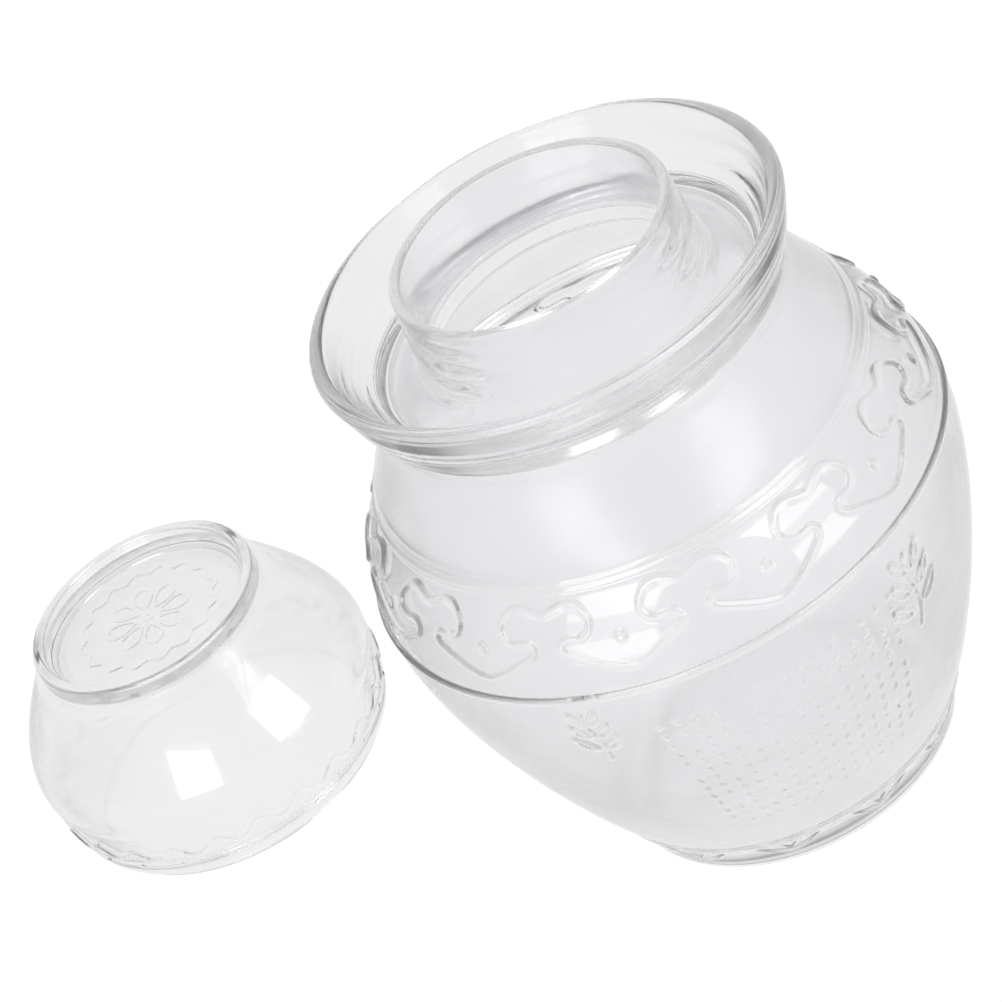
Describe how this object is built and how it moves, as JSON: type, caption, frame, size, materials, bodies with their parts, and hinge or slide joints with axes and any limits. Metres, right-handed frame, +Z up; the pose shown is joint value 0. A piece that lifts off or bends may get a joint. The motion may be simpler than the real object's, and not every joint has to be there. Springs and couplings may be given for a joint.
{
  "type": "pickle jar",
  "caption": "Clear glass water-seal pickle jar: round body with raised cloud border, upright neck in a ring-shaped trough, and a bowl-shaped lid with a foot ring set beside it.",
  "frame": {"origin": "on the table at the centre of the jar's standing ring", "axes": "+Z up the jar's axis; -Y towards the side that the bead panel faces; the lid stands to the left (-X) and behind (+Y)"},
  "size_m": [0.3589, 0.3113, 0.232],
  "materials": {
    "moulded_glass": "clear mould-blown glass, fire-polished",
    "tooled_glass": "clear glass with fine circular tool streaks",
    "relief_glass": "clear moulded relief",
    "lid_glass": "clear pressed glass, fire-polished"
  },
  "bodies": {
    "jar": {"jar_foot": "moulded_glass", "jar_belly": "moulded_glass", "jar_shoulder": "moulded_glass", "water_trough": "tooled_glass", "neck_ring": "tooled_glass", "cloud_scroll": "relief_glass", "cloud_dots": "relief_glass", "foot_wave": "relief_glass", "foot_leaves": "relief_glass", "bead_panel": "relief_glass", "sprig_relief": "relief_glass"},
    "lid": {"lid_rim": "lid_glass", "lid_bowl": "lid_glass", "lid_foot": "lid_glass", "lid_wave_border": "relief_glass", "lid_rim_dots": "relief_glass", "lid_rosette": "relief_glass"}
  },
  "joints": [
    {"name": "lid_lift", "type": "slide", "parent": "jar", "child": "lid", "axis": [0, 0, 1], "range_m": [0, 0.24]}
  ]
}
